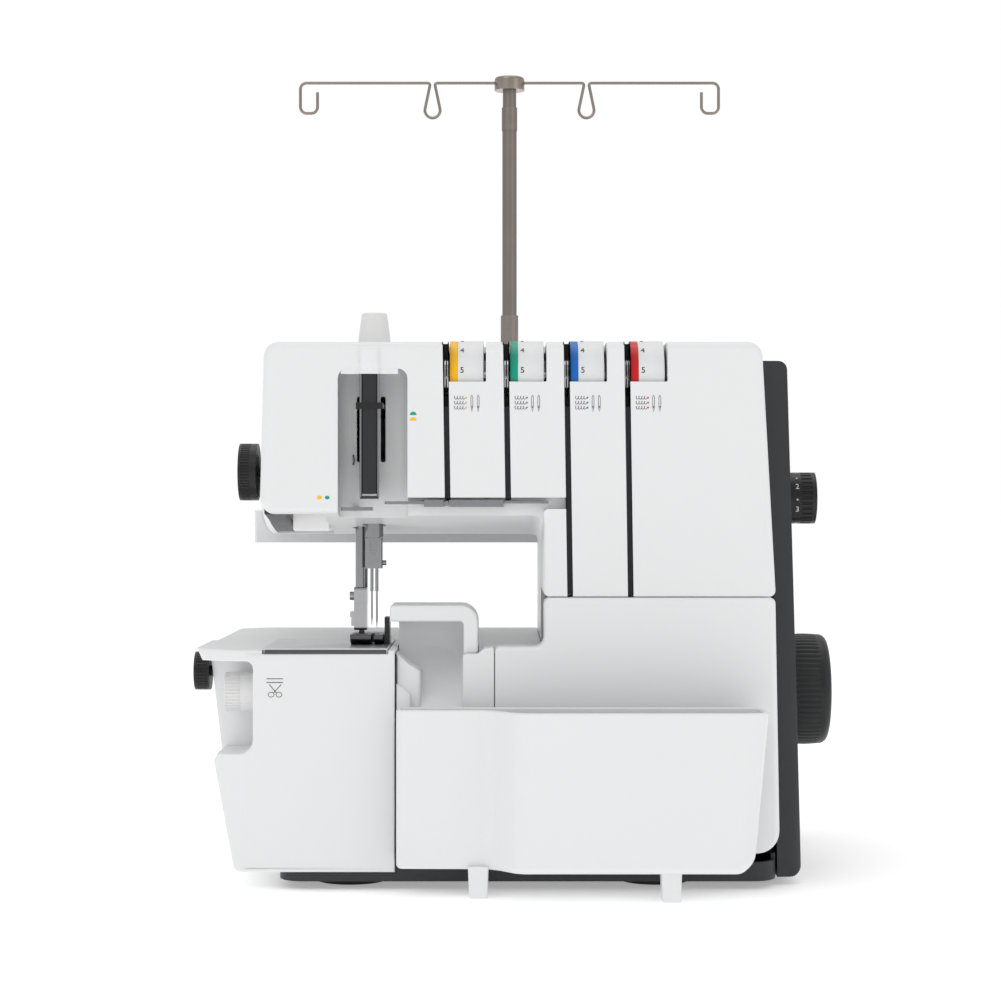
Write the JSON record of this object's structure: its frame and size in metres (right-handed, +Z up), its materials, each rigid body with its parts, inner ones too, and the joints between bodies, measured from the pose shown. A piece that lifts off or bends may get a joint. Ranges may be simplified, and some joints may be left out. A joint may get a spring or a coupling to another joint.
{
  "type": "serger overlock machine",
  "caption": "Tabletop overlock sewing machine with a free arm, colour-marked tension dials, waste collector and a telescopic thread stand.",
  "frame": {"origin": "on the table under the middle of the machine's overall box", "axes": "+Z up, +X to the operator's right, +Y away from the operator"},
  "size_m": [0.3634, 0.342, 0.4836],
  "materials": {
    "white_plastic": "satin moulded",
    "knob_white": "satin moulded",
    "dial_white": "smooth moulded",
    "dark_plastic": "fine grain",
    "wheel_plastic": "satin moulded",
    "black_plastic": "fine grain",
    "foot_rubber": "matt",
    "belt_rubber": "matt",
    "cast_frame": "as cast",
    "plate_steel": "brushed",
    "knife_steel": "ground",
    "motor_steel": "zinc plated",
    "bush_bronze": "sintered",
    "bright_steel": "ground",
    "spring_steel": "wire",
    "foot_steel": "dark nickel",
    "mast_steel": "satin",
    "yoke_wire": "bright drawn",
    "bright_chrome": "polished",
    "guard_gloss": "gloss with bright edges",
    "channel_plastic": "moulded",
    "lamp_diffuser": "frosted",
    "cone_plastic": "moulded",
    "ring_yellow": "moulded",
    "ring_green": "moulded",
    "ring_blue": "moulded",
    "ring_red": "moulded"
  },
  "bodies": {
    "machine": {"base_tray": "dark_plastic", "rubber_feet": "foot_rubber", "frame_casting": "cast_frame", "side_casing": "dark_plastic", "rear_cover": "white_plastic", "front_cover": "white_plastic", "free_arm_cover": "white_plastic", "bed_cover": "white_plastic", "chute_guard": "white_plastic", "needle_plate": "plate_steel", "lower_knife": "knife_steel", "drive_motor": "motor_steel", "drive_belt": "belt_rubber", "shaft_bushes": "bush_bronze", "tension_posts": "bright_steel", "thread_guides": "bright_chrome", "take_up_guard": "guard_gloss", "thread_channels": "channel_plastic", "lamp_lens": "lamp_diffuser", "lamp_insert": "dark_plastic", "spool_stand": "white_plastic", "spool_pins": "bright_steel", "cone_holders": "cone_plastic", "mast_lower_tube": "mast_steel", "power_inlet": "black_plastic"},
    "drive": {"main_shaft": "bright_steel", "handwheel": "wheel_plastic"},
    "motor_rotor": {"motor_pulley": "bright_steel"},
    "needle_drive": {"needle_bar": "bright_chrome", "needle_clamp": "bright_chrome", "needles": "bright_chrome", "take_up_lever": "black_plastic"},
    "presser": {"presser_bar": "bright_chrome", "foot_holder": "bright_steel", "presser_spring": "spring_steel"},
    "foot": {"presser_foot": "foot_steel"},
    "foot_lift": {"presser_lever": "black_plastic"},
    "pressure": {"pressure_knob": "knob_white"},
    "stitch_length": {"stitch_length_dial": "black_plastic"},
    "differential_feed": {"differential_feed_dial": "black_plastic"},
    "knife_release": {"knife_release_knob": "black_plastic"},
    "cutting_width": {"cutting_width_dial": "knob_white"},
    "cover_slider": {"hinge_rod": "bright_steel"},
    "front_door": {"looper_cover": "white_plastic"},
    "collector": {"waste_collector": "white_plastic"},
    "mast_slider": {"mast_upper_tube": "mast_steel"},
    "thread_guide": {"thread_guide_yoke": "yoke_wire"},
    "looper_upper": {"upper_looper": "bright_steel"},
    "looper_lower": {"lower_looper": "bright_steel"},
    "knife": {"upper_knife": "black_plastic"},
    "feed": {"feed_dogs": "bright_steel"},
    "rocker": {"power_switch": "black_plastic"},
    "tension_yellow": {"tension_dial_yellow": "dial_white", "tension_ring_yellow": "ring_yellow"},
    "tension_green": {"tension_dial_green": "dial_white", "tension_ring_green": "ring_green"},
    "tension_blue": {"tension_dial_blue": "dial_white", "tension_ring_blue": "ring_blue"},
    "tension_red": {"tension_dial_red": "dial_white", "tension_ring_red": "ring_red"}
  },
  "joints": [
    {"name": "handwheel_spin", "type": "hinge", "parent": "machine", "child": "drive", "pos_m": [0.00185, -0.019, 0.1004], "axis": [1, 0, 0], "continuous": true},
    {"name": "motor_spin", "type": "hinge", "parent": "machine", "child": "motor_rotor", "pos_m": [0.00185, 0.036, 0.055], "axis": [1, 0, 0], "continuous": true},
    {"name": "needle_bar_slide", "type": "slide", "parent": "machine", "child": "needle_drive", "axis": [0, 0, 1], "range_m": [-0.027, 0]},
    {"name": "presser_lever_lift", "type": "hinge", "parent": "machine", "child": "foot_lift", "pos_m": [-0.09015, 0.001, 0.205], "axis": [1, 0, 0], "range_deg": [0, 35]},
    {"name": "presser_bar_lift", "type": "slide", "parent": "machine", "child": "presser", "axis": [0, 0, 1], "range_m": [0, 0.006], "deforming": ["presser_spring"]},
    {"name": "presser_foot_tip", "type": "hinge", "parent": "presser", "child": "foot", "pos_m": [-0.08685, -0.062, 0.1392], "axis": [-1, 0, 0], "range_deg": [0, 8]},
    {"name": "pressure_knob_turn", "type": "hinge", "parent": "machine", "child": "pressure", "pos_m": [-0.08055, -0.069, 0.3], "axis": [0, 0, 1], "range_deg": [-360, 360]},
    {"name": "stitch_length_turn", "type": "hinge", "parent": "machine", "child": "stitch_length", "pos_m": [0.16185, -0.059, 0.2124], "axis": [1, 0, 0], "range_deg": [-86, 86]},
    {"name": "differential_feed_turn", "type": "hinge", "parent": "machine", "child": "differential_feed", "pos_m": [-0.14815, -0.069, 0.2271], "axis": [1, 0, 0], "range_deg": [-135, 135]},
    {"name": "knife_release_turn", "type": "hinge", "parent": "machine", "child": "knife_release", "pos_m": [-0.17315, -0.069, 0.1147], "axis": [1, 0, 0], "range_deg": [0, 90]},
    {"name": "cutting_width_turn", "type": "hinge", "parent": "machine", "child": "cutting_width", "pos_m": [-0.14815, -0.099, 0.1052], "axis": [1, 0, 0], "range_deg": [-150, 150]},
    {"name": "looper_cover_slide", "type": "slide", "parent": "machine", "child": "cover_slider", "axis": [1, 0, 0], "range_m": [0, 0.007]},
    {"name": "looper_cover_tip", "type": "hinge", "parent": "cover_slider", "child": "front_door", "pos_m": [0.06185, -0.1225, 0.026], "axis": [1, 0, 0], "range_deg": [0, 75]},
    {"name": "waste_collector_slide", "type": "slide", "parent": "machine", "child": "collector", "axis": [0, -1, 0], "range_m": [0, 0.26]},
    {"name": "mast_slide", "type": "slide", "parent": "machine", "child": "mast_slider", "axis": [0, 0, 1], "range_m": [-0.115, 0]},
    {"name": "thread_guide_turn", "type": "hinge", "parent": "mast_slider", "child": "thread_guide", "pos_m": [-0.00335, 0.111, 0.48], "axis": [0, 0, 1], "range_deg": [-90, 90]},
    {"name": "upper_looper_rock", "type": "hinge", "parent": "machine", "child": "looper_upper", "pos_m": [-0.03615, -0.069, 0.07], "axis": [0, 1, 0], "range_deg": [-10, 10]},
    {"name": "lower_looper_rock", "type": "hinge", "parent": "machine", "child": "looper_lower", "pos_m": [-0.05615, -0.059, 0.044], "axis": [0, 1, 0], "range_deg": [-10, 10]},
    {"name": "upper_knife_stroke", "type": "slide", "parent": "machine", "child": "knife", "axis": [0, 0, 1], "range_m": [-0.006, 0]},
    {"name": "feed_dog_travel", "type": "slide", "parent": "machine", "child": "feed", "axis": [0, 1, 0], "range_m": [-0.003, 0.003]},
    {"name": "power_switch_rock", "type": "hinge", "parent": "machine", "child": "rocker", "pos_m": [0.14885, 0.057, 0.096], "axis": [0, 1, 0], "range_deg": [0, 12]},
    {"name": "tension_yellow_turn", "type": "hinge", "parent": "machine", "child": "tension_yellow", "pos_m": [-0.02777, -0.1061, 0.2786], "axis": [1, 0, 0], "range_deg": [-153, 153]},
    {"name": "tension_green_turn", "type": "hinge", "parent": "machine", "child": "tension_green", "pos_m": [0.00498, -0.1061, 0.2786], "axis": [1, 0, 0], "range_deg": [-153, 153]},
    {"name": "tension_blue_turn", "type": "hinge", "parent": "machine", "child": "tension_blue", "pos_m": [0.03773, -0.1061, 0.2786], "axis": [1, 0, 0], "range_deg": [-153, 153]},
    {"name": "tension_red_turn", "type": "hinge", "parent": "machine", "child": "tension_red", "pos_m": [0.07048, -0.1061, 0.2786], "axis": [1, 0, 0], "range_deg": [-153, 153]}
  ],
  "couplings": [
    {"joint": "motor_spin", "follows": "handwheel_spin", "ratio": 3.5},
    {"joint": "presser_bar_lift", "follows": "presser_lever_lift", "m_per_rad": 0.009821},
    {"joint": "looper_cover_tip", "follows": "waste_collector_slide", "rad_per_m": 5.0341}
  ]
}
